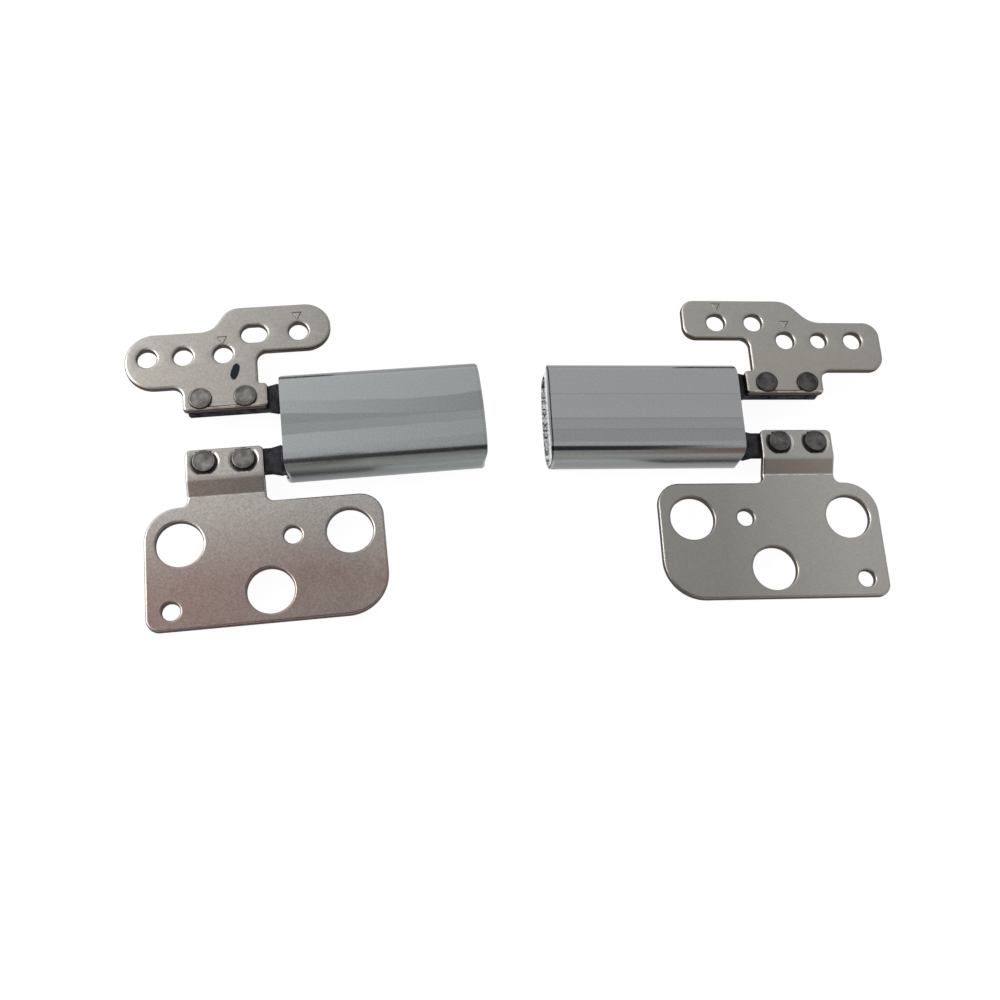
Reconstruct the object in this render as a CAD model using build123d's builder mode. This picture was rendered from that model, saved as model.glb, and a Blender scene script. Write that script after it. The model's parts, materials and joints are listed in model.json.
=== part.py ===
from build123d import *
import os
from math import pi, radians, sin, tan

# A left and a right laptop hinge lying open flat, lid brackets at the back.
# Each hinge has two geared shafts in a cover, so the lid can turn right round the base.
# Lengths are millimetres and angles degrees.
# In a hinge's own frame X runs along the shafts into the cover from its mouth,
# Y points from the base to the lid, midway between the shafts, and Z is up from the table.

# Cover
shaft_spacing = 9.4
cover_radius = 3.2
cover_length = 28.2
cover_wall = 0.55
cover_end_wall = 0.8
cover_end_crown = 0.25
cover_corner = 0.9

# Fits
running_clearance = 0.04
seat_clearance = 0.02
key_clearance = 0.02
grease_film = 0.02
rivet_clearance = 0.02

# Shafts
collar_radius = 2.1
collar_proud = 0.35
journal_radius = 1.4
key_radius = 1.3
key_flats = 1.9
shaft_proud = 0.8
shaft_end_room = 1.0
tongue_width = 3.5
tongue_thickness = 1.4
tongue_reach = 12.8
tongue_corner = 0.5
tongue_flare = 1.3

# Gear train
shaft_gear_teeth = 14
idler_teeth = 9
gear_width = 7.0
gear_end_play = 0.05
tooth_addendum = 0.7
tooth_dedendum = 1.05
tooth_flank_angle = 20.0
tooth_thinning = 0.09
trunnion_radius = 0.65
trunnion_length = 1.3

# Friction clip, carrier plates and nuts along the shafts
clip_recess = 1.0
clip_slit = 0.6
carrier_thickness = 1.5
nut_flats = 4.1
nut_thickness = 2.5

# Sheet brackets and their rivets
sheet = 1.0
rivet_shank_radius = 0.95
rivet_head_radius = 1.6
rivet_head_height = 0.35
tab_overhang = 0.5
tab_inner_x = -1.6
tab_corner = 0.6

# Lid brackets, with heights given above the lid shaft
lid_rivet_end = 1.925
lid_rivet_spacing = 6.15
lid_tab_edge = 1.65
lid_neck_x = -2.85
lid_arm_bottom = 2.0
lid_inner_fillet = 1.4
lid_foot_fillet = 0.4
lid_screw_radius = 1.35
lid_small_screw_radius = 1.2
left_arm_end_x = -21.05
left_arm_top = 10.5
left_arm_round = 4.1
left_step_low_x = -9.0
left_step_high_x = -6.5
left_step_round = 3.0
left_head_end_x = 7.8
left_head_bottom = 6.85
left_head_top = 14.1
left_head_round = 3.55
left_low_screws_x = (-18.0, -13.05, -7.5)
left_low_screws_y = 6.8
left_high_screw_x = 3.2
left_high_screws_y = 9.75
left_slot_x = -3.05
left_slot_length = 3.7
right_arm_end_x = -23.15
right_arm_top = 10.05
right_arm_round = 2.4
right_step_low_x = -12.65
right_step_high_x = -9.3
right_step_round = 3.8
right_head_end_x = 6.95
right_head_bottom = 7.3
right_head_top = 13.65
right_head_round = 2.0
right_low_screws_x = (-18.85, -8.45)
right_small_screw_x = -13.6
right_low_screws_y = 6.95
right_high_screws_x = (-3.85, 1.85)
right_high_screws_y = 9.9

# Base brackets, with depths given below the base shaft
base_rivet_end = 2.05
base_rivet_spacing = 5.3
base_flange_edge = 1.9
base_flange_inner_x = -2.7
base_flange_corner = 0.8
joggle_start = 2.3
joggle_end = 4.5
joggle_drop = 1.2
joggle_bend_radius = 1.2
plate_shoulder = 5.9
plate_inner_x = 12.95
plate_top = 5.85
plate_neck_fillet = 1.0
plate_outer_top_round = 4.7
plate_inner_top_round = 3.2
plate_inner_bottom_round = 5.8
plate_outer_bottom_round = 1.8
boss_hole_radius = 3.15
boss_row_depth = 11.1
boss_outer_edge = 4.7
boss_inner_edge = 4.75
boss_low_x = -2.85
boss_low_depth = 18.6
boss_low_edge = 4.3
pin_hole_radius = 1.2
pin_inner_x = 0.5
pin_outer_edge = 3.3
pin_low_edge = 2.6

# How the pair lies: the right hinge is square to the frame
mouth_distance = 65.4
left_yaw = 4.3
left_set_forward = 1.8

# Heights and stations that follow from the sizes above
lid_y = shaft_spacing / 2
base_y = -shaft_spacing / 2
shaft_height = cover_radius
tongue_top = shaft_height + tongue_thickness / 2
tongue_underside = shaft_height - tongue_thickness / 2
bracket_top = tongue_top + sheet
bore_radius = cover_radius - cover_wall
gear_module = shaft_spacing / (shaft_gear_teeth + 2 * idler_teeth)
idler_y = lid_y - gear_module * (shaft_gear_teeth + idler_teeth) / 2
collar_end_x = clip_recess - grease_film
shaft_end_x = cover_length - cover_end_crown - cover_end_wall - shaft_end_room
nut_x = shaft_end_x - shaft_proud - nut_thickness
rear_carrier_x = nut_x - grease_film - carrier_thickness
gears_x = rear_carrier_x - gear_end_play - gear_width
gear_bay_x = gears_x - gear_end_play
front_carrier_x = gear_bay_x - carrier_thickness
clip_length = front_carrier_x - seat_clearance - clip_recess
tab_outer_x = -tongue_reach - tab_overhang
lid_rivet_x = lid_rivet_spacing / 2 + lid_rivet_end - tongue_reach
base_rivet_x = base_rivet_spacing / 2 + base_rivet_end - tongue_reach
plate_outer_x = tab_outer_x - plate_shoulder
plate_bottom = boss_low_depth + boss_low_edge
boss_outer_x = plate_outer_x + boss_outer_edge
boss_inner_x = plate_inner_x - boss_inner_edge
pin_outer_x = plate_outer_x + pin_outer_edge
pin_outer_depth = plate_bottom - pin_low_edge


def across(x):
    """Plane square to the shafts at station x: its X is the hinge's Y, its Y is up from the shafts."""
    return Plane(origin=(x, 0, shaft_height), x_dir=(0, 1, 0), z_dir=(1, 0, 0))


def key_section(gap):
    """Round bar with two flats, grown by a gap all round."""
    with BuildSketch() as section:
        Circle(key_radius + gap)
        Rectangle(2 * (key_radius + gap), key_flats + 2 * gap, mode=Mode.INTERSECT)
    return section.sketch


key_bar = key_section(0)
key_bore = key_section(key_clearance)


def make_cover():
    """Drawn tube of slot section, open at the mouth, its closed end crowned and its corners rounded in plan."""
    half_width = shaft_spacing / 2 + cover_radius
    crown_x = cover_length - cover_end_crown
    with BuildPart() as cover:
        with BuildSketch(across(0)):
            SlotCenterToCenter(shaft_spacing, 2 * cover_radius)
        extrude(amount=cover_length)
        with BuildSketch(Plane.XY) as plan:
            with BuildLine():
                Polyline((crown_x, half_width), (0, half_width), (0, -half_width), (crown_x, -half_width))
                ThreePointArc((crown_x, -half_width), (cover_length, 0), (crown_x, half_width))
            make_face()
            fillet(plan.vertices(), cover_corner)
        extrude(amount=2 * cover_radius, mode=Mode.INTERSECT)
        with BuildSketch(across(0)):
            SlotCenterToCenter(shaft_spacing, 2 * bore_radius)
        extrude(amount=crown_x - cover_end_wall, mode=Mode.SUBTRACT)
    return cover.part


def make_shaft(shaft_y, rivet_x, rivet_spacing):
    """Turned shaft: flat tongue for the bracket, collar, journal and keyed length."""
    half_width = tongue_width / 2
    flare_x = -collar_proud - tongue_flare
    with BuildPart() as shaft:
        with BuildSketch(across(-collar_proud)):
            with Locations((shaft_y, 0)):
                Circle(collar_radius)
        extrude(amount=collar_end_x + collar_proud)
        with BuildSketch(across(collar_end_x)):
            with Locations((shaft_y, 0)):
                Circle(journal_radius)
        extrude(amount=gear_bay_x - collar_end_x)
        with BuildSketch(across(gear_bay_x)):
            with Locations((shaft_y, 0)):
                add(key_bar)
        extrude(amount=shaft_end_x - gear_bay_x)
        with BuildSketch(Plane.XY.offset(tongue_underside)) as tongue:
            with BuildLine():
                Polyline(
                    (-tongue_reach, shaft_y + half_width),
                    (flare_x, shaft_y + half_width),
                    (-collar_proud, shaft_y + collar_radius),
                    (-collar_proud, shaft_y - collar_radius),
                    (flare_x, shaft_y - half_width),
                    (-tongue_reach, shaft_y - half_width),
                    close=True,
                )
            make_face()
            fillet(tongue.vertices().group_by(Axis.X)[0], tongue_corner)
            with Locations((rivet_x, shaft_y)):
                with GridLocations(rivet_spacing, 0, 2, 1):
                    Circle(rivet_shank_radius + rivet_clearance, mode=Mode.SUBTRACT)
        extrude(amount=tongue_thickness)
    return shaft.part


def toothed_disc(teeth, first_tooth):
    """Outline of a small gear with straight-flanked stub teeth, the first at an angle in degrees."""
    pitch_radius = gear_module * teeth / 2
    tip_radius = pitch_radius + tooth_addendum * gear_module
    root_radius = pitch_radius - tooth_dedendum * gear_module
    sunk_radius = root_radius - gear_module / 2
    half_tooth = pitch_radius * sin(pi / (2 * teeth)) - tooth_thinning / 2
    slope = tan(radians(tooth_flank_angle))
    tip_half = half_tooth - (tip_radius - pitch_radius) * slope
    sunk_half = half_tooth + (pitch_radius - sunk_radius) * slope
    with BuildSketch() as disc:
        RegularPolygon(root_radius, teeth, rotation=first_tooth)
        with PolarLocations(0, teeth, start_angle=first_tooth):
            Polygon(
                (sunk_radius, -sunk_half),
                (tip_radius, -tip_half),
                (tip_radius, tip_half),
                (sunk_radius, sunk_half),
                align=None,
            )
    return disc.sketch


def make_shaft_gear(shaft_y, first_tooth):
    """Gear keyed on a shaft between the carrier plates."""
    teeth = toothed_disc(shaft_gear_teeth, first_tooth)
    with BuildPart() as gear:
        with BuildSketch(across(gears_x)):
            with Locations((shaft_y, 0)):
                add(teeth)
                add(key_bore, mode=Mode.SUBTRACT)
        extrude(amount=gear_width)
    return gear.part


def make_idler(centre_y, first_tooth):
    """Idler gear with a trunnion at each end, carried by both plates."""
    teeth = toothed_disc(idler_teeth, first_tooth)
    with BuildPart() as idler:
        with BuildSketch(across(gears_x)):
            with Locations((centre_y, 0)):
                add(teeth)
        extrude(amount=gear_width)
        for start, step in (
            (gears_x, -trunnion_length),
            (gears_x + gear_width, trunnion_length),
        ):
            with BuildSketch(across(start)):
                with Locations((centre_y, 0)):
                    Circle(trunnion_radius)
            extrude(amount=step)
    return idler.part


def plate_blank(shaft_hole_radius):
    """Plate outline that fills the cover's bore, with a hole for each shaft."""
    with BuildSketch() as blank:
        SlotCenterToCenter(shaft_spacing, 2 * (bore_radius - seat_clearance))
        with GridLocations(shaft_spacing, 0, 2, 1):
            Circle(shaft_hole_radius + running_clearance, mode=Mode.SUBTRACT)
    return blank.sketch


def make_friction_clip():
    """Spring-steel block whose slit pinches both journals."""
    blank = plate_blank(journal_radius)
    with BuildPart() as clip:
        with BuildSketch(across(clip_recess)):
            add(blank)
            Rectangle(shaft_spacing, clip_slit, mode=Mode.SUBTRACT)
        extrude(amount=clip_length)
    return clip.part


def make_carrier(start_x, shaft_hole_radius):
    """Plate beside the gears that carries both shafts and the trunnions of both idlers."""
    blank = plate_blank(shaft_hole_radius)
    with BuildPart() as carrier:
        with BuildSketch(across(start_x)):
            add(blank)
            with GridLocations(2 * idler_y, 0, 2, 1):
                Circle(trunnion_radius + running_clearance, mode=Mode.SUBTRACT)
        extrude(amount=carrier_thickness)
    return carrier.part


def make_lock_nut(shaft_y):
    """Hexagon nut that keeps the gear and its shaft from sliding out."""
    with BuildPart() as nut:
        with BuildSketch(across(nut_x)):
            with Locations((shaft_y, 0)):
                RegularPolygon(nut_flats / 2, 6, major_radius=False)
                Circle(key_radius + key_clearance, mode=Mode.SUBTRACT)
        extrude(amount=nut_thickness)
    return nut.part


def make_rivets(rivet_x, rivet_spacing, shaft_y):
    """Two rivets that hold a bracket on a tongue, headed above and flush below."""
    with BuildPart() as rivets:
        for level, radius, height in (
            (tongue_underside, rivet_shank_radius, tongue_thickness + sheet),
            (bracket_top, rivet_head_radius, rivet_head_height),
        ):
            with BuildSketch(Plane.XY.offset(level)):
                with Locations((rivet_x, shaft_y)):
                    with GridLocations(rivet_spacing, 0, 2, 1):
                        Circle(radius)
            extrude(amount=height)
    return rivets.part


def make_lid_bracket(outline, radii, screws, small_screws, slots):
    """Flat stamped bracket on the lid shaft's tongue, with its screw holes."""
    with BuildPart() as bracket:
        with BuildSketch(Plane.XY.offset(tongue_top)):
            with BuildLine():
                FilletPolyline(*outline, radius=radii, close=True)
            make_face()
            if slots:
                with Locations(*slots):
                    SlotOverall(left_slot_length, 2 * lid_screw_radius, mode=Mode.SUBTRACT)
        extrude(amount=sheet)
        with Locations(*screws):
            Hole(lid_screw_radius)
        if small_screws:
            with Locations(*small_screws):
                Hole(lid_small_screw_radius)
        with Locations((lid_rivet_x, lid_y)):
            with GridLocations(lid_rivet_spacing, 0, 2, 1):
                Hole(rivet_shank_radius + rivet_clearance)
    return bracket.part


def lid_outline(arm_end_x, arm_top, step_low_x, step_high_x, head_end_x, head_bottom, head_top):
    """Corners of a lid bracket, round from the outer arm's lower corner."""
    arm_bottom_y = lid_y + lid_arm_bottom
    return (
        (arm_end_x, arm_bottom_y),
        (arm_end_x, lid_y + arm_top),
        (step_low_x, lid_y + arm_top),
        (step_high_x, lid_y + head_top),
        (head_end_x, lid_y + head_top),
        (head_end_x, lid_y + head_bottom),
        (lid_neck_x, lid_y + head_bottom),
        (lid_neck_x, arm_bottom_y),
        (tab_inner_x, arm_bottom_y),
        (tab_inner_x, lid_y - lid_tab_edge),
        (tab_outer_x, lid_y - lid_tab_edge),
        (tab_outer_x, arm_bottom_y),
    )


def lid_radii(arm_round, step_round, head_round):
    """Corner radii in the order of the outline's corners."""
    return (
        arm_round,
        arm_round,
        step_round,
        step_round,
        head_round,
        head_round,
        lid_inner_fillet,
        lid_foot_fillet,
        tab_corner,
        tab_corner,
        tab_corner,
        lid_inner_fillet,
    )


def make_left_lid_bracket():
    outline = lid_outline(
        left_arm_end_x,
        left_arm_top,
        left_step_low_x,
        left_step_high_x,
        left_head_end_x,
        left_head_bottom,
        left_head_top,
    )
    radii = lid_radii(left_arm_round, left_step_round, left_head_round)
    screws = [(x, lid_y + left_low_screws_y) for x in left_low_screws_x]
    screws.append((left_high_screw_x, lid_y + left_high_screws_y))
    slots = [(left_slot_x, lid_y + left_high_screws_y)]
    return make_lid_bracket(outline, radii, screws, [], slots)


def make_right_lid_bracket():
    outline = lid_outline(
        right_arm_end_x,
        right_arm_top,
        right_step_low_x,
        right_step_high_x,
        right_head_end_x,
        right_head_bottom,
        right_head_top,
    )
    radii = lid_radii(right_arm_round, right_step_round, right_head_round)
    screws = [(x, lid_y + right_low_screws_y) for x in right_low_screws_x]
    screws += [(x, lid_y + right_high_screws_y) for x in right_high_screws_x]
    small_screws = [(right_small_screw_x, lid_y + right_low_screws_y)]
    return make_lid_bracket(outline, radii, screws, small_screws, [])


def make_base_bracket():
    """Sheet bracket on the base shaft's tongue, stepped down to a plate with boss holes."""
    flange_middle = tongue_top + sheet / 2
    plate_middle = flange_middle - joggle_drop
    flange_edge_y = base_y + base_flange_edge
    with BuildPart() as bracket:
        with BuildSketch(Plane.YZ.offset(plate_outer_x)):
            with BuildLine():
                FilletPolyline(
                    (flange_edge_y, flange_middle),
                    (base_y - joggle_start, flange_middle),
                    (base_y - joggle_end, plate_middle),
                    (base_y - plate_bottom, plate_middle),
                    radius=joggle_bend_radius,
                )
            trace(line_width=sheet)
        extrude(amount=plate_inner_x - plate_outer_x)
        with BuildSketch(Plane.XY):
            with BuildLine():
                FilletPolyline(
                    (tab_outer_x, flange_edge_y),
                    (base_flange_inner_x, flange_edge_y),
                    (base_flange_inner_x, base_y - plate_top),
                    (plate_inner_x, base_y - plate_top),
                    (plate_inner_x, base_y - plate_bottom),
                    (plate_outer_x, base_y - plate_bottom),
                    (plate_outer_x, base_y - plate_top),
                    (tab_outer_x, base_y - plate_top),
                    radius=(
                        base_flange_corner,
                        base_flange_corner,
                        plate_neck_fillet,
                        plate_inner_top_round,
                        plate_inner_bottom_round,
                        plate_outer_bottom_round,
                        plate_outer_top_round,
                        plate_neck_fillet,
                    ),
                    close=True,
                )
            make_face()
        extrude(amount=bracket_top, mode=Mode.INTERSECT)
        with Locations(
            (boss_outer_x, base_y - boss_row_depth),
            (boss_inner_x, base_y - boss_row_depth),
            (boss_low_x, base_y - boss_low_depth),
        ):
            Hole(boss_hole_radius)
        with Locations(
            (pin_inner_x, base_y - boss_row_depth),
            (pin_outer_x, base_y - pin_outer_depth),
        ):
            Hole(pin_hole_radius)
        with Locations((base_rivet_x, base_y)):
            with GridLocations(base_rivet_spacing, 0, 2, 1):
                Hole(rivet_shank_radius + rivet_clearance)
    return bracket.part


# Pieces that both hinges share, in the hinge's own frame
half_idler_tooth = 180 / idler_teeth
hinge_pieces = {
    "cover": make_cover(),
    "base_bracket": make_base_bracket(),
    "lid_rivets": make_rivets(lid_rivet_x, lid_rivet_spacing, lid_y),
    "base_rivets": make_rivets(base_rivet_x, base_rivet_spacing, base_y),
    "lid_shaft": make_shaft(lid_y, lid_rivet_x, lid_rivet_spacing),
    "base_shaft": make_shaft(base_y, base_rivet_x, base_rivet_spacing),
    "lid_gear": make_shaft_gear(lid_y, 180),
    "lid_idler": make_idler(idler_y, half_idler_tooth),
    "base_idler": make_idler(-idler_y, half_idler_tooth * (idler_teeth % 2)),
    "base_gear": make_shaft_gear(base_y, 180 / shaft_gear_teeth),
    "friction_clip": make_friction_clip(),
    "front_carrier": make_carrier(front_carrier_x, journal_radius),
    "rear_carrier": make_carrier(rear_carrier_x, key_radius),
    "lid_lock_nut": make_lock_nut(lid_y),
    "base_lock_nut": make_lock_nut(base_y),
}
left_pieces = {"lid_bracket": make_left_lid_bracket(), **hinge_pieces}
right_pieces = {"lid_bracket": make_right_lid_bracket(), **hinge_pieces}

# The right hinge is the left one's mirror image, and the pair stands about the middle of its box
left_place = Location((-mouth_distance, -left_set_forward, 0), (0, 0, left_yaw))
pair = {f"left_{name}": left_place * piece for name, piece in left_pieces.items()}
pair |= {f"right_{name}": mirror(piece, about=Plane.YZ) for name, piece in right_pieces.items()}
pair_middle = Compound(list(pair.values())).bounding_box().center()
pair_place = Location((-pair_middle.X, -pair_middle.Y, 0))

os.makedirs("parts", exist_ok=True)
for name, piece in pair.items():
    placed = pair_place * piece
    placed.label = name
    export_step(placed, f"parts/{name}.step")
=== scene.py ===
"""A left and a right laptop hinge lying open flat on a pale table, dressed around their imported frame."""
import json
from math import pi, radians

import bmesh
import bpy
from mathutils import Matrix, Vector


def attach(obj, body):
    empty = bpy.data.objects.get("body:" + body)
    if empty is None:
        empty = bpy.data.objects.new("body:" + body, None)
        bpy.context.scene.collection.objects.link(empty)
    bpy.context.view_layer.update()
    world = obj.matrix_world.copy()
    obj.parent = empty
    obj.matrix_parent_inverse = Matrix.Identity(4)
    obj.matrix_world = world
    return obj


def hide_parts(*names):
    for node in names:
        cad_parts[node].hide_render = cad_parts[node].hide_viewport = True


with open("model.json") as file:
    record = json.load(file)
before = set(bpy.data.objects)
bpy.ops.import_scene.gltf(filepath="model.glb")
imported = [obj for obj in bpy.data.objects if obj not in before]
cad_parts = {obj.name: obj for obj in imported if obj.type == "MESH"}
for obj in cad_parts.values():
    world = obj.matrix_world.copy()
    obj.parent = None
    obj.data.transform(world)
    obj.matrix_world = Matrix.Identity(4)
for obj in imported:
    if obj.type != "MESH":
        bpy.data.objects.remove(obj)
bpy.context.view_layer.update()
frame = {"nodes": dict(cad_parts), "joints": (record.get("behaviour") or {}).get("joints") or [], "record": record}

MM = 0.001
NEAR = 0.01 * MM
SIDES = ("left", "right")
JOINTS = {joint["name"]: joint for joint in frame["joints"]}
SMOOTH_ANGLE = radians(35)

# Cleaning of a node's mesh before it is worked
JOIN_GAP = 0.001 * MM
FLAT_ANGLE = radians(0.3)

# How level a face is, by its normal's Z: flat, or level or steep enough for one side of a rim
FLAT_LEVEL = 0.999
RIM_ANGLE = radians(40)
RIM_FACE_LEVEL = 0.6
RIM_WALL_LEVEL = 0.4

# Covers: a drawn tube with a wall, a crowned closed end with a sunk plate, and corners rounded in plan
COVER_SEGMENTS = 98
COVER_WALL = 0.55 * MM
COVER_BORE_FLOOR = 27.15 * MM
COVER_CORNER = 1.4 * MM
COVER_FRONT_MOUTH_CORNER = 1.8 * MM
COVER_END_CROWN = 0.25 * MM
CROWN_STEPS = 12
COVER_CORNER_STEPS = 10
COVER_EDGE_ROUND = 0.1 * MM
COVER_EDGE_STEPS = 3
COVER_END_FACING = 0.9
END_PLATE_RIM = 0.45 * MM
END_PLATE_SINK = 0.4 * MM
END_PLATE_MARK = "sunk_end_plate"

# Stamped sheet: the punch rolls the upper edges over and leaves the lower ones nearly sharp
LID_EDGE_ROLL = 0.4 * MM
BASE_EDGE_ROLL = 0.34 * MM
SHEET_LOWER_EDGE = 0.08 * MM
ROLL_STEPS = 5
# Steep faces are marked for painted shade, and on the sheet also for more roughness.
WALL_SHADE_MARK = "painted_wall_shade"
SHEARED_LEAN = 0.55

# Dish that the riveting tool pressed into the sheet round each rivet head, clear of the sheet's rolled rim.
# On the rim's side it rises by a flat slope, whose run for each unit of rise is given.
RIVET_DISH_RADIUS = 2.1 * MM
RIVET_DISH_DEPTH = 0.2 * MM
RIVET_DISH_CLEAR = 0.04 * MM
RIVET_DISH_RIM_RUN = 1.4

# Pointers punched beside screw holes of the lid brackets, in each hinge's own frame
POINTER_CORNERS = 3
POINTER_GROOVE_SIDES = 4
POINTER_RADIUS = 0.74 * MM
POINTER_GROOVE = 0.17 * MM
POINTER_FLATNESS = 0.5
POINTER_LIFT = 0.015 * MM
POINTER_DULLING_AND_SHADE = 0.42
POINTER_SLOPE = 0.97
POINTERS = {
    "left": ((-7.5 * MM, 13.8 * MM), (3.15 * MM, 17.0 * MM)),
    "right": ((-8.6 * MM, 14.42 * MM), (1.65 * MM, 17.3 * MM)),
}

# Rivets: a flat head with a rounded rim and a slightly sunk face
RIVET_SEGMENTS = 48
RIVET_SHANK_RADIUS = 0.95 * MM
RIVET_HEAD_HEIGHT = 0.35 * MM
RIVET_RIM_ROUND = 0.16 * MM
RIVET_RIM_STEPS = 4
RIVET_RIM_LEAN = 0.9
RIVET_RIM_WIDTH = 0.14 * MM
RIVET_FACE_SINK = 0.05 * MM
RIVET_FACE_FACING = 0.99

# Shafts: broken edges, cleared of the slivers that meeting edges leave
SHAFT_EDGE_ROUND = 0.1 * MM
SHAFT_JOIN_GAP = 0.004 * MM
SHAFT_SLIVER = 0.002 * MM

# Inspector's ink dab on the left lid bracket, in the hinge's own frame
INK_PLACE = (-5.95 * MM, 8.6 * MM)
INK_HALF_SIZE = (0.62 * MM, 1.4 * MM)
INK_LEAN = radians(-16)
INK_RAGGED_SCALE = 1800.0
INK_RAGGED_DEPTH = 0.25
INK_EDGE = (1.14, 0.98)

# Camera
CAMERA_PLACE = (-21.06 * MM, -63.97 * MM, 159.6 * MM)
CAMERA_PITCH = radians(20.05)
CAMERA_ROLL = radians(-6.5)
CAMERA_YAW = radians(-2.8)
CAMERA_LENS = 43.24
CAMERA_SENSOR = 36.0
CAMERA_NEAREST = 1 * MM

# Light: a room that is bright on the left and dim on the right, with dark and warm cards by the camera
FLOOR_SIZE = 3.0
FLOOR_DROP = 0.02 * MM
FLOOR_GREY = 0.85
FLOOR_WHITE_SHARE = 0.85
FLOOR_WHITE = 1.1
ROOM_LEFT_TO_RIGHT = (
    (-1.0, 1.18), (-0.6, 1.12), (-0.32, 0.88), (-0.1, 0.63),
    (0.1, 0.55), (0.4, 0.5), (0.7, 0.4), (1.0, 0.3),
)
ROOM_STRENGTH = 1.2
ROOM_FRONT = (0.37, 0.385, 0.36, 1)
ROOM_FRONT_SPAN = (-0.3, -0.6)
CARD_HEIGHT = 170 * MM
# Near and far corners of each card in millimetres, and its tone
CARDS = {
    "dark_front": ((-62, -150), (80, -46), (0.03, 0.026, 0.034, 1)),
    "warm_left_front": ((-170, -300), (-56, -92), (0.32, 0.15, 0.13, 1)),
    "warm_right_front": ((76, -300), (190, -92), (0.25, 0.16, 0.15, 1)),
    "warm_left": ((-150, -25), (-48, 42), (0.33, 0.2, 0.19, 1)),
}
CENTRE_CARD_X = -21 * MM
CENTRE_CARD_LOW = (-150 * MM, 25 * MM)
CENTRE_CARD_HIGH = (-6 * MM, 175 * MM)
CENTRE_CARD_TONE = (0.06, 0.05, 0.05, 1)
CARD_SOFT_EDGE = 9 * MM
WINDOW_PLACE = (-0.55, 0.1, 0.35)
WINDOW_SIZE = 0.4
WINDOW_POWER = 1.8
FILL_PLACE = (0.2, 0.5, 0.6)
FILL_SIZE = 0.6
FILL_POWER = 1.6


def hinge_place(side):
    """Matrix from a hinge's own frame, X along the shafts into the cover and Y from base to lid."""
    lid = Vector(JOINTS[f"{side}_lid_turn"]["pos_m"])
    base = Vector(JOINTS[f"{side}_base_turn"]["pos_m"])
    across = (lid - base).normalized()
    along = across.cross(Vector((0, 0, 1)))
    if side == "right":
        along.negate()
    middle = (lid + base) / 2
    turn = Matrix((along, across, (0, 0, 1))).transposed()
    return Matrix.Translation((middle.x, middle.y, 0)) @ turn.to_4x4()


PLACE = {side: hinge_place(side) for side in SIDES}


def own_box(node):
    """Lowest and highest corners of a node in its hinge's own frame."""
    back = PLACE[node.split("_")[0]].inverted()
    points = [back @ vertex.co for vertex in frame["nodes"][node].data.vertices]
    low = Vector([min(point[axis] for point in points) for axis in range(3)])
    high = Vector([max(point[axis] for point in points) for axis in range(3)])
    return low, high


# Modelling steps that the pieces share


def clear_selection():
    bpy.ops.object.select_all(action="DESELECT")


def take(piece):
    """Makes a piece the only selected object, and the active one."""
    clear_selection()
    piece.select_set(True)
    bpy.context.view_layer.objects.active = piece


def edit(piece):
    take(piece)
    bpy.ops.object.mode_set(mode="EDIT")


def leave_edit():
    bpy.ops.object.mode_set(mode="OBJECT")


def choose(kind, test):
    """Selects, in edit mode, the vertices, edges or faces that pass a test."""
    bpy.ops.mesh.select_mode(type=kind)
    bpy.ops.mesh.select_all(action="DESELECT")
    data = bpy.context.active_object.data
    mesh = bmesh.from_edit_mesh(data)
    mesh.normal_update()
    parts = {"VERT": mesh.verts, "EDGE": mesh.edges, "FACE": mesh.faces}[kind]
    for part in [part for part in parts if test(part)]:
        part.select_set(True)
    mesh.select_flush_mode()
    bmesh.update_edit_mesh(data)


def apply_modifier(piece, kind, **values):
    """Adds a modifier with given values to a piece and applies it."""
    take(piece)
    modifier = piece.modifiers.new(kind.lower(), kind)
    for name, value in values.items():
        setattr(modifier, name, value)
    bpy.ops.object.modifier_apply(modifier=modifier.name)


def cut(piece, tool, operation):
    """Boolean of a piece with a tool, which is used up."""
    apply_modifier(piece, "BOOLEAN", operation=operation, object=tool, solver="EXACT")
    bpy.data.objects.remove(tool)


def settle(piece, place):
    """Puts a piece modelled in a hinge's own frame into the pair's frame, with its faces outwards."""
    take(piece)
    piece.matrix_world = place
    bpy.ops.object.transform_apply(location=True, rotation=True, scale=True)
    edit(piece)
    bpy.ops.mesh.select_all(action="SELECT")
    bpy.ops.mesh.normals_make_consistent(inside=False)
    leave_edit()


def smooth(piece):
    """Shades a piece smooth except at its sharp edges, led by its larger faces."""
    take(piece)
    bpy.ops.object.shade_smooth_by_angle(angle=SMOOTH_ANGLE)
    apply_modifier(piece, "WEIGHTED_NORMAL", keep_sharp=True, weight=100)


def merged_copy(node, name):
    """A copy of a node's mesh with its triangles joined into whole flat faces."""
    piece = bpy.data.objects.new(name, frame["nodes"][node].data.copy())
    bpy.context.scene.collection.objects.link(piece)
    take(piece)
    bpy.ops.mesh.customdata_custom_splitnormals_clear()
    edit(piece)
    bpy.ops.mesh.select_all(action="SELECT")
    bpy.ops.mesh.remove_doubles(threshold=JOIN_GAP)
    bpy.ops.mesh.dissolve_limited(angle_limit=FLAT_ANGLE)
    leave_edit()
    return piece


def runs_across(edge):
    """True for a level edge that doesn't run along X."""
    first, second = (vertex.co for vertex in edge.verts)
    return abs(first.y - second.y) > NEAR and abs(first.z - second.z) < NEAR


def is_upright(edge):
    """True for an edge that runs along Z."""
    first, second = (vertex.co for vertex in edge.verts)
    return (first.xy - second.xy).length < NEAR


def is_ring(edge, axis, radius):
    """True for an edge on a circle about an upright axis."""
    return all(abs((vertex.co.xy - axis).length - radius) < NEAR for vertex in edge.verts)


def is_rim(edge, way):
    """True for an edge between a face that looks up or down and a wall."""
    if len(edge.link_faces) != 2 or edge.calc_face_angle(0) < RIM_ANGLE:
        return False
    heights = sorted(way * face.normal.z for face in edge.link_faces)
    return heights[1] > RIM_FACE_LEVEL and heights[0] < RIM_WALL_LEVEL


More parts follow.
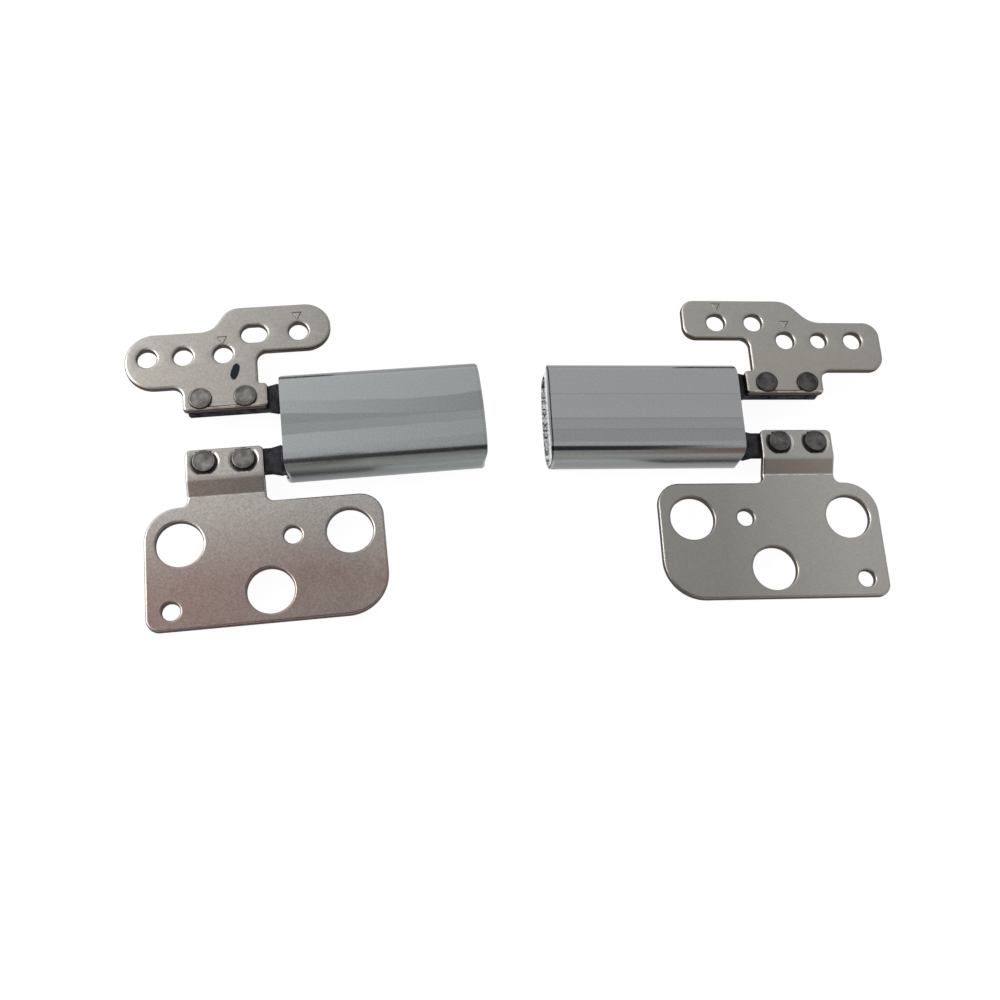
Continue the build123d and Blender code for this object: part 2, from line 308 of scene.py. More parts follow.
def roll_edges(piece, upper, lower):
    """Rounds the upper and lower rims of a piece by their own widths."""
    edit(piece)
    for way, width in ((1, upper), (-1, lower)):
        choose("EDGE", lambda edge: is_rim(edge, way))
        bpy.ops.mesh.bevel(offset=width, segments=ROLL_STEPS, loop_slide=False, clamp_overlap=False)
    leave_edit()


def part_flats(piece):
    """Parts a sheet's level faces into triangles, which take a cut more cleanly than many-sided faces."""
    edit(piece)
    choose("FACE", lambda face: abs(face.normal.z) > FLAT_LEVEL)
    bpy.ops.mesh.quads_convert_to_tris(quad_method="BEAUTY", ngon_method="BEAUTY")
    leave_edit()


def dress(piece, node, body, material):
    """Gives a finished piece its material and its body, and hides the node it stands for."""
    piece.data.materials.clear()
    piece.data.materials.append(material)
    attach(piece, body)
    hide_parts(node)


# Covers


def add_block(low, high):
    """Plain block between two corners."""
    clear_selection()
    bpy.ops.mesh.primitive_cube_add(size=1, location=(low + high) / 2, scale=high - low)
    bpy.ops.object.transform_apply(location=True, rotation=True, scale=True)
    return bpy.context.active_object


def plan_block(low, high):
    """Upright block with a crowned end and rounded corners, to trim a cover in plan."""
    crown_x = high.x - COVER_END_CROWN
    half_width = high.y
    block = add_block(low, Vector((crown_x, high.y, high.z)))
    edit(block)
    choose("EDGE", lambda edge: runs_across(edge) and all(end.co.x > crown_x - NEAR for end in edge.verts))
    bpy.ops.mesh.subdivide(number_cuts=CROWN_STEPS - 1)
    for step in range(1, CROWN_STEPS):
        y = half_width * (2 * step / CROWN_STEPS - 1)
        choose("VERT", lambda vertex: vertex.co.x > crown_x - NEAR and abs(vertex.co.y - y) < NEAR)
        bpy.ops.transform.translate(value=(COVER_END_CROWN * (1 - (y / half_width) ** 2), 0, 0))
    for x, y, radius in (
        (low.x, low.y, COVER_FRONT_MOUTH_CORNER),
        (low.x, high.y, COVER_CORNER),
        (crown_x, low.y, COVER_CORNER),
        (crown_x, high.y, COVER_CORNER),
    ):
        corner = Vector((x, y))
        choose("EDGE", lambda edge: is_upright(edge) and (edge.verts[0].co.xy - corner).length < NEAR)
        bpy.ops.mesh.bevel(offset=radius, segments=COVER_CORNER_STEPS)
    leave_edit()
    return block


def mark_end_plate(cover, plate_x, middle_z):
    """Marks the floor and the walls of the sunk plate in a cover's closed end."""
    mark = cover.data.attributes.new(END_PLATE_MARK, "FLOAT", "FACE")
    for face in cover.data.polygons:
        inward = face.normal.y * face.center.y + face.normal.z * (face.center.z - middle_z) < 0
        floor = face.normal.x > COVER_END_FACING and face.center.x < plate_x + NEAR
        sunk = face.center.x > plate_x - NEAR and (inward or floor)
        mark.data[face.index].value = 1.0 if sunk else 0.0


def model_cover(side):
    """Tube of slot section: a round bar parted along its middle, bored from the mouth and trimmed."""
    low, high = own_box(f"{side}_cover")
    radius = (high.z - low.z) / 2
    part_by = (high.y - low.y) / 2 - radius
    length = high.x - low.x
    clear_selection()
    bpy.ops.mesh.primitive_cylinder_add(
        vertices=COVER_SEGMENTS,
        radius=radius,
        depth=length,
        location=(length / 2, 0, radius),
        rotation=(0, pi / 2, 0),
    )
    cover = bpy.context.active_object
    cover.name = f"{side}_cover_shell"
    bpy.ops.object.transform_apply(location=True, rotation=True, scale=True)
    edit(cover)
    for way in (-1, 1):
        choose("VERT", lambda vertex: way * vertex.co.y > 0)
        bpy.ops.transform.translate(value=(0, way * part_by, 0))
    choose("FACE", lambda face: face.normal.x < -COVER_END_FACING)
    bpy.ops.mesh.inset(thickness=COVER_WALL)
    bpy.ops.mesh.extrude_region_move(TRANSFORM_OT_translate={"value": (COVER_BORE_FLOOR, 0, 0)})
    end_x = length - NEAR
    choose("FACE", lambda face: face.normal.x > COVER_END_FACING and face.calc_center_median().x > end_x)
    bpy.ops.mesh.inset(thickness=END_PLATE_RIM)
    bpy.ops.mesh.extrude_region_move(TRANSFORM_OT_translate={"value": (-END_PLATE_SINK, 0, 0)})
    leave_edit()
    cut(cover, plan_block(low, high), "INTERSECT")
    apply_modifier(
        cover,
        "BEVEL",
        width=COVER_EDGE_ROUND,
        segments=COVER_EDGE_STEPS,
        limit_method="ANGLE",
        angle_limit=RIM_ANGLE,
    )
    mark_end_plate(cover, length - END_PLATE_SINK, radius)
    settle(cover, PLACE[side])
    smooth(cover)
    return cover


# Brackets, rivets and shafts


def punch_pointer(bracket, side, spot, top):
    """Cuts a small three-cornered groove that points down at its screw hole."""
    clear_selection()
    bpy.ops.mesh.primitive_torus_add(
        major_segments=POINTER_CORNERS,
        minor_segments=POINTER_GROOVE_SIDES,
        major_radius=POINTER_RADIUS,
        minor_radius=POINTER_GROOVE,
    )
    tool = bpy.context.active_object
    down = Matrix.Translation((spot[0], spot[1], top + POINTER_LIFT)) @ Matrix.Rotation(-pi / 2, 4, "Z")
    settle(tool, PLACE[side] @ down @ Matrix.Diagonal((1, 1, POINTER_FLATNESS, 1)))
    cut(bracket, tool, "DIFFERENCE")


def dish_rivet_seats(bracket, side):
    """Presses a shallow cone into a base bracket's sheet round each rivet head."""
    low, high = own_box(f"{side}_base_rivets")
    head_radius = (high.y - low.y) / 2
    middle_y = (high.y + low.y) / 2
    top = high.z - RIVET_HEAD_HEIGHT
    rim = own_box(f"{side}_base_bracket")[1].y - BASE_EDGE_ROLL - RIVET_DISH_CLEAR
    for x in (low.x + head_radius, high.x - head_radius):
        clear_selection()
        bpy.ops.mesh.primitive_cone_add(
            vertices=RIVET_SEGMENTS,
            radius1=head_radius,
            radius2=2 * RIVET_DISH_RADIUS - head_radius,
            depth=2 * RIVET_DISH_DEPTH,
            location=(x, middle_y, top),
        )
        tool = bpy.context.active_object
        bpy.ops.object.transform_apply(location=True, rotation=True, scale=True)
        for corner in tool.data.vertices:
            corner.co.y = min(corner.co.y, rim + RIVET_DISH_RIM_RUN * (corner.co.z - top))
        settle(tool, PLACE[side])
        cut(bracket, tool, "DIFFERENCE")
        axis = (PLACE[side] @ Vector((x, middle_y, top))).xy
        edit(bracket)
        for radius in (head_radius, RIVET_DISH_RADIUS):
            choose("EDGE", lambda edge: is_ring(edge, axis, radius))
            bpy.ops.mesh.mark_sharp()
        leave_edit()


def mark_walls(piece, steepest):
    """Marks the faces that stand steeper than a given lean, such as those that a punch sheared, for painted shade.
    """
    mark = piece.data.attributes.new(WALL_SHADE_MARK, "FLOAT", "FACE")
    for face in piece.data.polygons:
        mark.data[face.index].value = 1.0 if abs(face.normal.z) < steepest else 0.0


def dull_and_shade_pointers(bracket, side):
    """Marks the slopes of the punched pointers, which are duller than the sheet round them and take part of the
    painted wall shade.
    """
    spots = [(PLACE[side] @ Vector((*spot, 0))).xy for spot in POINTERS[side]]
    mark = bracket.data.attributes[WALL_SHADE_MARK]
    for face in bracket.data.polygons:
        near = any((face.center.xy - spot).length < POINTER_RADIUS for spot in spots)
        if near and face.normal.z < POINTER_SLOPE:
            mark.data[face.index].value = POINTER_DULLING_AND_SHADE


def model_lid_bracket(side):
    """A lid bracket with rolled edges and punched pointers."""
    bracket = merged_copy(f"{side}_lid_bracket", f"{side}_lid_plate")
    roll_edges(bracket, LID_EDGE_ROLL, SHEET_LOWER_EDGE)
    part_flats(bracket)
    top = own_box(f"{side}_lid_bracket")[1].z
    for spot in POINTERS[side]:
        punch_pointer(bracket, side, spot, top)
    smooth(bracket)
    mark_walls(bracket, SHEARED_LEAN)
    dull_and_shade_pointers(bracket, side)
    return bracket


def model_base_bracket(side):
    """A base bracket with dished rivet seats and rolled edges."""
    bracket = merged_copy(f"{side}_base_bracket", f"{side}_base_plate")
    dish_rivet_seats(bracket, side)
    roll_edges(bracket, BASE_EDGE_ROLL, SHEET_LOWER_EDGE)
    smooth(bracket)
    mark_walls(bracket, SHEARED_LEAN)
    return bracket


def model_rivet(centre, head_radius, low, high):
    """One rivet: a head with a rounded rim and a sunk face, and a shank drawn down from under it."""
    clear_selection()
    seat = high - RIVET_HEAD_HEIGHT
    bpy.ops.mesh.primitive_cylinder_add(
        vertices=RIVET_SEGMENTS,
        radius=head_radius,
        depth=RIVET_HEAD_HEIGHT,
        location=(centre[0], centre[1], seat + RIVET_HEAD_HEIGHT / 2),
    )
    rivet = bpy.context.active_object
    bpy.ops.object.transform_apply(location=True, rotation=True, scale=True)
    edit(rivet)
    choose("EDGE", lambda edge: is_rim(edge, 1))
    bpy.ops.mesh.bevel(offset=RIVET_RIM_ROUND, segments=RIVET_RIM_STEPS)
    choose("FACE", lambda face: face.normal.z > RIVET_FACE_FACING)
    bpy.ops.mesh.inset(thickness=RIVET_RIM_WIDTH)
    bpy.ops.mesh.inset(thickness=RIVET_FACE_SINK, depth=-RIVET_FACE_SINK)
    choose("FACE", lambda face: face.normal.z < -RIVET_FACE_FACING)
    bpy.ops.mesh.inset(thickness=head_radius - RIVET_SHANK_RADIUS)
    bpy.ops.mesh.extrude_region_move(TRANSFORM_OT_translate={"value": (0, 0, low - seat)})
    leave_edit()
    return rivet


def model_rivets(side, end):
    """The two rivets of one bracket, as one piece."""
    low, high = own_box(f"{side}_{end}_rivets")
    head_radius = (high.y - low.y) / 2
    middle_y = (high.y + low.y) / 2
    pair = [
        model_rivet((x, middle_y), head_radius, low.z, high.z)
        for x in (low.x + head_radius, high.x - head_radius)
    ]
    take(pair[0])
    pair[1].select_set(True)
    bpy.ops.object.join()
    pair[0].name = f"{side}_{end}_rivet_pair"
    settle(pair[0], PLACE[side])
    smooth(pair[0])
    mark_walls(pair[0], RIVET_RIM_LEAN)
    return pair[0]


def model_shaft(side, end):
    """A shaft with its turned and milled edges broken."""
    shaft = merged_copy(f"{side}_{end}_shaft", f"{side}_{end}_spindle")
    roll_edges(shaft, SHAFT_EDGE_ROUND, SHAFT_EDGE_ROUND)
    edit(shaft)
    bpy.ops.mesh.select_all(action="SELECT")
    bpy.ops.mesh.remove_doubles(threshold=SHAFT_JOIN_GAP)
    bpy.ops.mesh.dissolve_degenerate(threshold=SHAFT_SLIVER)
    leave_edit()
    smooth(shaft)
    return shaft


# Shader steps that the finishes share, with lumps a metre as the scale of their noise
GRAIN_SCALE = 4200.0
GRAIN_CONTRAST = ((0.32, 0.0), (0.68, 1.0))
DRIFT_SCALE = 140.0
DRIFT_DETAIL = 3.0
# Painted reflection bands along the covers, where the plating's waviness shows.
REFLECTION_BAND_LENGTH = 28.0 * MM
REFLECTION_BAND_SOFTNESS = 0.1 * MM
REFLECTION_BAND_BOW_POWER = 5.0
REFLECTION_BAND_WAVER_SCALE = 170.0
REFLECTION_BAND_WAVER_DETAIL = 3.0
SATIN_SWING = (0.8, 1.2)


def new_group(name, inputs, outputs):
    """An empty shader node group with its sockets, its input node and its output node."""
    group = bpy.data.node_groups.new(name, "ShaderNodeTree")
    for label, kind, value in inputs:
        socket = group.interface.new_socket(label, in_out="INPUT", socket_type=kind)
        if value is not None:
            socket.default_value = value
    for label, kind in outputs:
        group.interface.new_socket(label, in_out="OUTPUT", socket_type=kind)
    return group, group.nodes.new("NodeGroupInput"), group.nodes.new("NodeGroupOutput")


def node(tree, kind, links=None, **values):
    """A new node with its properties set and its inputs joined or given values."""
    made = tree.nodes.new(kind)
    for name, value in values.items():
        setattr(made, name, value)
    for name, source in (links or {}).items():
        if isinstance(source, bpy.types.NodeSocket):
            tree.links.new(source, made.inputs[name])
        else:
            made.inputs[name].default_value = source
    return made


def calc(tree, operation, first, second=0.0, clamp=False):
    """Result of one arithmetic step."""
    made = node(tree, "ShaderNodeMath", {0: first, 1: second}, operation=operation, use_clamp=clamp)
    return made.outputs[0]


def blend(tree, factor, first, second, how="MIX"):
    """Mix of two colours by a factor."""
    made = node(tree, "ShaderNodeMix", {"Factor": factor}, data_type="RGBA", blend_type=how)
    for name, source in ((6, first), (7, second)):
        if isinstance(source, bpy.types.NodeSocket):
            tree.links.new(source, made.inputs[name])
        else:
            made.inputs[name].default_value = source
    return made.outputs[2]


def ramp(tree, factor, stops):
    """Colour ramp through stops of place and grey tone."""
    made = node(tree, "ShaderNodeValToRGB", {"Fac": factor})
    points = made.color_ramp.elements
    while len(points) < len(stops):
        points.new(1.0)
    for point, (spot, tone) in zip(points, stops):
        point.position = spot
        point.color = (tone, tone, tone, 1)
    return made.outputs["Color"]


def span(tree, value, start, finish, low=0.0, high=1.0):
    """Value carried from one range to another, and held at its ends."""
    made = node(tree, "ShaderNodeMapRange", {0: value, 1: start, 2: finish, 3: low, 4: high})
    return made.outputs[0]


def parts_of(tree, vector):
    """X, Y and Z of a vector, by name."""
    return node(tree, "ShaderNodeSeparateXYZ", {"Vector": vector}).outputs


def noise(tree, place, scale, detail=2.0):
    """Noise from 0 to 1 at so many lumps a metre."""
    made = node(tree, "ShaderNodeTexNoise", {"Vector": place, "Scale": scale, "Detail": detail})
    return made.outputs["Fac"]


def make_grain_group():
    """Fine speckle of a satin plated sheet, with a slow drift of tone across it."""
    group, given, out = new_group(
        "plated_sheet_grain",
        (
            ("Vector", "NodeSocketVector", None),
            ("Grain Scale", "NodeSocketFloat", GRAIN_SCALE),
            ("Drift Scale", "NodeSocketFloat", DRIFT_SCALE),
        ),
        (("Speckle", "NodeSocketFloat"), ("Drift", "NodeSocketFloat"), ("Height", "NodeSocketFloat")),
    )
    place = given.outputs["Vector"]
    fine = noise(group, place, given.outputs["Grain Scale"])
    drift = noise(group, place, given.outputs["Drift Scale"], DRIFT_DETAIL)
    group.links.new(ramp(group, fine, GRAIN_CONTRAST), out.inputs["Speckle"])
    group.links.new(drift, out.inputs["Drift"])
    group.links.new(fine, out.inputs["Height"])
    return group


def make_reflection_band_group():
    """Painted reflection band: change of tone in front of a band's bowed edge, from a drawn cover's mouth to its
    end.
    """
    group, given, out = new_group(
        "painted_reflection_band_edge",
        (
            ("Vector", "NodeSocketVector", None),
            ("Length", "NodeSocketFloat", REFLECTION_BAND_LENGTH),
            ("Place", "NodeSocketFloat", 0.0),
            ("Lean", "NodeSocketFloat", 0.0),
            ("Bow", "NodeSocketFloat", 0.0),
            ("Softness", "NodeSocketFloat", REFLECTION_BAND_SOFTNESS),
            ("Waver", "NodeSocketFloat", 0.0),
            ("Mouth Change", "NodeSocketFloat", 0.0),
            ("End Change", "NodeSocketFloat", 0.0),
        ),
        (("Change", "NodeSocketFloat"),),
    )
    own = given.outputs["Vector"]
    axes = parts_of(group, own)
    along = calc(group, "DIVIDE", axes["X"], given.outputs["Length"])
    late = calc(group, "POWER", along, REFLECTION_BAND_BOW_POWER)
    lean = calc(group, "MULTIPLY", along, given.outputs["Lean"])
    leaning = calc(group, "ADD", given.outputs["Place"], lean)
    bowed = calc(group, "ADD", leaning, calc(group, "MULTIPLY", late, given.outputs["Bow"]))
    waves = noise(group, own, REFLECTION_BAND_WAVER_SCALE, REFLECTION_BAND_WAVER_DETAIL)
    unrest = calc(group, "SUBTRACT", waves, 0.5)
    edge = calc(group, "ADD", bowed, calc(group, "MULTIPLY", unrest, given.outputs["Waver"]))
    depth = calc(group, "DIVIDE", calc(group, "SUBTRACT", edge, axes["Y"]), given.outputs["Softness"])
    change = span(group, along, 0.0, 1.0, given.outputs["Mouth Change"], given.outputs["End Change"])
    group.links.new(calc(group, "MULTIPLY", span(group, depth, -1.0, 1.0), change), out.inputs["Change"])
    return group


GRAIN = make_grain_group()
REFLECTION_BAND = make_reflection_band_group()


def use_group(tree, group, links):
    """Places a node group in a material, and gives its outputs by name."""
    return node(tree, "ShaderNodeGroup", links, node_tree=group).outputs


def new_material(name, metallic, roughness):
    """A material with its Principled shader, and the node that gives the piece's own place."""
    material = bpy.data.materials.new(name)
    material.use_nodes = True
    tree = material.node_tree
    shader = tree.nodes["Principled BSDF"]
    shader.inputs["Metallic"].default_value = metallic
    shader.inputs["Roughness"].default_value = roughness
    place = tree.nodes.new("ShaderNodeTexCoord").outputs["Object"]
    return material, tree, shader, place


def add_bump(tree, shader, height, distance, strength):
    """Gives a shader a fine relief."""
    bump = node(tree, "ShaderNodeBump", {"Height": height, "Distance": distance, "Strength": strength})
    tree.links.new(bump.outputs["Normal"], shader.inputs["Normal"])


def own_frame(tree, place, side):
    """The piece's place turned and moved into its hinge's own frame."""
    shift, turn, size = PLACE[side].inverted().decompose()
    made = node(
        tree,
        "ShaderNodeMapping",
        {"Vector": place, "Location": shift, "Rotation": turn.to_euler(), "Scale": size},
    )
    return made.outputs["Vector"]


def toned(colour, factor):
    """A colour made darker or paler by a factor."""
    return tuple(channel * factor for channel in colour[:3]) + (1,)


def satin_range(roughness):
    """Least and greatest roughness of an uneven satin face."""
    return tuple(roughness * factor for factor in SATIN_SWING)


def bracket_material(side, end):
    """Satin plated sheet, with a painted warm reflection towards one edge, and painted shade on its rougher steep
    walls.
    """
    speckle, warm_reflection_tint, start, finish = BRACKET_SPECKLE_AND_REFLECTION_TINT[side, end]
    material, tree, shader, place = new_material(f"{side}_{end}_bracket_satin", 1.0, SHEET_ROUGHNESS)
    own = own_frame(tree, place, side)
    grain = use_group(tree, GRAIN, {"Vector": place})
    plated = SHEET_COLOUR[end]
    plain = blend(tree, grain["Speckle"], toned(plated, 1 - speckle), toned(plated, 1 + speckle))
    # Painted warm reflection: a brown tint that grows towards one edge of the plate.
    tint_reach = span(tree, parts_of(tree, own)["Y"], start, finish)
    patchy = calc(tree, "ADD", grain["Drift"], REFLECTION_TINT_LEAST)
    drifting = calc(tree, "MULTIPLY", tint_reach, patchy, clamp=True)
    colour = blend(tree, drifting, plain, warm_reflection_tint, "MULTIPLY")
    # Painted light and shade: the plate grows paler or darker along the shafts.
    from_x, to_x, from_tone, to_tone = BRACKET_PAINTED_LIGHT_LEAN[side, end]
    lean = span(tree, parts_of(tree, own)["X"], from_x * MM, to_x * MM, from_tone, to_tone)
    colour = blend(tree, 1.0, colour, lean, "MULTIPLY")
    if (side, end) == ("left", "lid"):
        colour = add_ink(tree, own, colour)
    # The base bracket's line is rubbing at the step's foot; the lid bracket's is a painted highlight on the tab's
    # edge.
    rub_and_highlight_y = STEP_FOOT if end == "base" else own_box(f"{side}_lid_bracket")[0].y + LID_HIGHLIGHT_INSET
    rub_and_highlight_half = STEP_FOOT_HALF if end == "base" else LID_HIGHLIGHT_INSET
    colour = add_rub_and_highlight_line(tree, own, colour, rub_and_highlight_y, rub_and_highlight_half)
    # Painted shade on the marked steep walls and edges, which are also rougher.
    wall = node(tree, "ShaderNodeAttribute", attribute_name=WALL_SHADE_MARK).outputs["Fac"]
    tree.links.new(blend(tree, wall, colour, PAINTED_WALL_SHADE), shader.inputs["Base Color"])
    shader.inputs["Specular Tint"].default_value = SHEET_EDGE_TINT
    satin = span(tree, grain["Drift"], 0.0, 1.0, *SHEET_SATIN)
    rough = calc(tree, "ADD", satin, calc(tree, "MULTIPLY", wall, WALL_EXTRA_ROUGHNESS))
    tree.links.new(rough, shader.inputs["Roughness"])
    strength = SHEET_BUMP_BY_SPECKLE * speckle + SHEET_BUMP_LEAST
    add_bump(tree, shader, grain["Height"], SHEET_BUMP_DEPTH, strength)
    return material


def add_ink(tree, own, colour):
    """An oval dab of black ink over the plating."""
    spot = node(
        tree,
        "ShaderNodeMapping",
        {
            "Vector": own,
            "Location": (INK_PLACE[0], INK_PLACE[1], 0),
            "Rotation": (0, 0, INK_LEAN),
            "Scale": (INK_HALF_SIZE[0], INK_HALF_SIZE[1], 1.0),
        },
        vector_type="TEXTURE",
    )
    axes = parts_of(tree, spot.outputs["Vector"])
    flat = node(tree, "ShaderNodeCombineXYZ", {"X": axes["X"], "Y": axes["Y"]}).outputs[0]
    reach = node(tree, "ShaderNodeVectorMath", {0: flat}, operation="LENGTH").outputs["Value"]
    ragged = calc(tree, "MULTIPLY", noise(tree, own, INK_RAGGED_SCALE), INK_RAGGED_DEPTH)
    uneven = calc(tree, "ADD", reach, ragged)
    return blend(tree, span(tree, uneven, *INK_EDGE), colour, INK_COLOUR)


def add_rub_and_highlight_line(tree, own, colour, place, half):
    """Broken bright line across a bracket: rubbing at a base step's foot, and a painted highlight along a lid
    tab's edge.
    """
    axes = parts_of(tree, own)
    off = calc(tree, "ABSOLUTE", calc(tree, "SUBTRACT", axes["Y"], place))
    line = span(tree, off, half, half / 2)
    broken = span(tree, noise(tree, own, RUB_AND_HIGHLIGHT_BREAK_SCALE), *RUB_AND_HIGHLIGHT_BREAK_SPAN)
    return blend(tree, calc(tree, "MULTIPLY", line, broken), colour, RUB_AND_HIGHLIGHT_COLOUR)


def add_end_sparkle(tree, own, axes, colour):
    """Painted glints: broken bright and dark patches on the sunk plate of a cover's closed end, with painted shade
    darker towards its top.
    """
    plate = node(tree, "ShaderNodeAttribute", attribute_name=END_PLATE_MARK).outputs["Fac"]
    glints = span(tree, noise(tree, own, END_GLINT_SCALE, END_GLINT_DETAIL), *END_GLINT_SPAN, *END_TONES)
    shade = span(tree, axes["Z"], END_SHADE_TOP, END_SHADE_FOOT, *END_TONES)
    return blend(tree, plate, colour, calc(tree, "MULTIPLY", glints, shade))


def cover_material(side):
    """Bright plating on a drawn tube, with painted reflection bands along it and painted shade on its front and
    back rounds.
    """
    colour, roughness, waver, reflection_bands = COVER_LOOKS[side]
    material, tree, shader, place = new_material(f"{side}_cover_plating", 1.0, roughness)
    own = own_frame(tree, place, side)
    axes = parts_of(tree, own)
    low, high = own_box(f"{side}_cover")
    along = calc(tree, "DIVIDE", axes["X"], high.x)
    tone = span(tree, along, 0.0, 1.0, *COVER_ALONG_TONE[side])
    for spot, lean, bow, soft, mouth_change, end_change in reflection_bands:
        change = use_group(tree, REFLECTION_BAND, {
            "Vector": own,
            "Length": high.x,
            "Place": spot * MM,
            "Lean": lean * MM,
            "Bow": bow * MM,
            "Softness": soft * MM,
            "Waver": waver,
            "Mouth Change": mouth_change,
            "End Change": end_change,
        })["Change"]
        tone = calc(tree, "ADD", tone, change)
    across = span(tree, axes["Y"], low.y, high.y)
    front = span(tree, along, 0.0, 1.0, *COVER_FRONT_TONE[side])
    in_front = span(tree, across, *COVER_FRONT_SPAN)
    shade = blend(tree, in_front, ramp(tree, across, COVER_ROUND_SHADE), front, "MULTIPLY")
    low_x, high_x = COVER_END_LINE
    after_low = span(tree, axes["X"], low_x, low_x + NEAR)
    before_high = span(tree, axes["X"], high_x, high_x - NEAR)
    line = calc(tree, "MULTIPLY", after_low, before_high)
    shade = blend(tree, line, shade, COVER_END_LINE_TONE[side], "MULTIPLY")
    grain = use_group(tree, GRAIN, {"Vector": own, "Grain Scale": COVER_GRAIN_SCALE})
    plated = blend(tree, 1.0, blend(tree, 1.0, shade, tone, "MULTIPLY"), colour, "MULTIPLY")
    speckled = blend(tree, COVER_SPECKLE, plated, grain["Speckle"], "OVERLAY")
    tree.links.new(add_end_sparkle(tree, own, axes, speckled), shader.inputs["Base Color"])
    satin = span(tree, grain["Drift"], 0.0, 1.0, *satin_range(roughness))
    dulled = calc(tree, "ADD", satin, ramp(tree, across, COVER_ROUND_DULLING))
    tree.links.new(dulled, shader.inputs["Roughness"])
    add_bump(tree, shader, grain["Height"], COVER_BUMP_DEPTH, COVER_BUMP)
    return material


def plain_steel(name, pale, deep, roughness, grain_scale):
    """Bare, greased or blackened steel with an uneven, fine-grained face."""
    material, tree, shader, place = new_material(name, 1.0, roughness)
    scales = {"Vector": place, "Grain Scale": grain_scale, "Drift Scale": STEEL_MOTTLE_SCALE}
    grain = use_group(tree, GRAIN, scales)
    mottled = span(tree, grain["Drift"], *STEEL_MOTTLE_SPAN)
    tone = blend(tree, STEEL_SPECKLE, blend(tree, mottled, deep, pale), grain["Speckle"], "OVERLAY")
    wall = node(tree, "ShaderNodeAttribute", attribute_name=WALL_SHADE_MARK).outputs["Fac"]
    # Painted shade on the marked steep faces: the dark ring round each rivet head's rim.
    tree.links.new(blend(tree, wall, tone, STEEL_RIM_PAINTED_SHADE), shader.inputs["Base Color"])
    shader.inputs["Specular Tint"].default_value = STEEL_EDGE_TINT
    satin = span(tree, grain["Speckle"], 0.0, 1.0, *satin_range(roughness))
    tree.links.new(satin, shader.inputs["Roughness"])
    add_bump(tree, shader, grain["Height"], STEEL_BUMP_DEPTH, STEEL_BUMP)
    return material


# Bracket finishes, in each hinge's own frame. The lean is two places along the shafts in millimetres and
# the tones of painted light there. The speckle and tint are the speckle, the tint of a painted warm reflection,
# and where that starts and is full.
# The base sheet is painted paler than the lid sheet, a lit copy of the same plating.
SHEET_COLOUR = {"lid": (0.54, 0.522, 0.479, 1), "base": (0.59, 0.575, 0.533, 1)}
SHEET_ROUGHNESS = 0.32
SHEET_SATIN = (0.26, 0.4)
SHEET_BUMP_DEPTH = 0.02 * MM
SHEET_BUMP_LEAST = 0.15
SHEET_BUMP_BY_SPECKLE = 2.2
REFLECTION_TINT_LEAST = 0.45
SHEET_EDGE_TINT = (0.6, 0.58, 0.56, 1)
PAINTED_WALL_SHADE = (0.1, 0.082, 0.075, 1)
WALL_EXTRA_ROUGHNESS = 0.2
STEP_FOOT = -9.4 * MM
STEP_FOOT_HALF = 0.1 * MM
LID_HIGHLIGHT_INSET = 0.24 * MM
BRACKET_PAINTED_LIGHT_LEAN = {
    ("left", "lid"): (-19, 5, 1.16, 0.93),
    ("left", "base"): (-15, 3, 1.05, 0.91),
    ("right", "lid"): (-19, 5, 1.0, 1.0),
    ("right", "base"): (4, -14, 0.7, 1.07),
}
BRACKET_SPECKLE_AND_REFLECTION_TINT = {
    ("left", "lid"): (0.1, (0.97, 0.92, 0.9, 1), 12 * MM, 3 * MM),
    ("left", "base"): (0.16, (0.72, 0.58, 0.575, 1), -11.5 * MM, -21.5 * MM),
    ("right", "lid"): (0.06, (0.97, 0.96, 0.94, 1), 12 * MM, 3 * MM),
    ("right", "base"): (0.06, (0.96, 0.95, 0.94, 1), -9 * MM, -28 * MM),
}
RUB_AND_HIGHLIGHT_COLOUR = (0.93, 0.92, 0.91, 1)
RUB_AND_HIGHLIGHT_BREAK_SCALE = 700.0
RUB_AND_HIGHLIGHT_BREAK_SPAN = (0.35, 0.55)
INK_COLOUR = (0.028, 0.035, 0.05, 1)

# Cover finishes: colour, roughness, waver, and painted reflection bands. A band is its place, lean, bow and
# softness in millimetres, and its change of tone at the mouth and at the closed end.
COVER_LOOKS = {
    "left": ((0.55, 0.575, 0.585, 1), 0.2, 0.5 * MM, (
        (3.0, -1.9, 1.4, 0.12, -0.08, -0.25),
        (1.0, -1.9, 0.5, 0.1, -0.27, 0.02),
        (-0.7, 0.1, 0.0, 0.1, 0.06, 0.1),
        (-2.25, 0.3, 0.0, 0.1, 0.25, 0.04),
        (-4.7, 0.6, 0.0, 0.2, -0.02, -0.08),
    )),
    "right": ((0.54, 0.552, 0.565, 1), 0.14, 0.05 * MM, (
        (2.28, 0.0, 0.0, 0.05, -0.13, -0.13),
        (2.08, 0.0, 0.0, 0.08, 0.11, 0.11),
        (0.0, 0.0, 0.0, 0.3, 0.02, 0.02),
        (-1.55, 0.0, 0.0, 0.05, -0.22, -0.22),
        (-1.78, 0.0, 0.0, 0.06, 0.1, 0.1),
        (-3.23, 0.0, 0.0, 0.05, -0.12, -0.12),
        (-3.43, 0.0, 0.0, 0.06, 0.04, 0.04),
        (-5.2, 0.0, 0.0, 0.08, 0.15, 0.15),
    )),
}
COVER_ALONG_TONE = {"left": (1.03, 0.97), "right": (1.0, 1.0)}
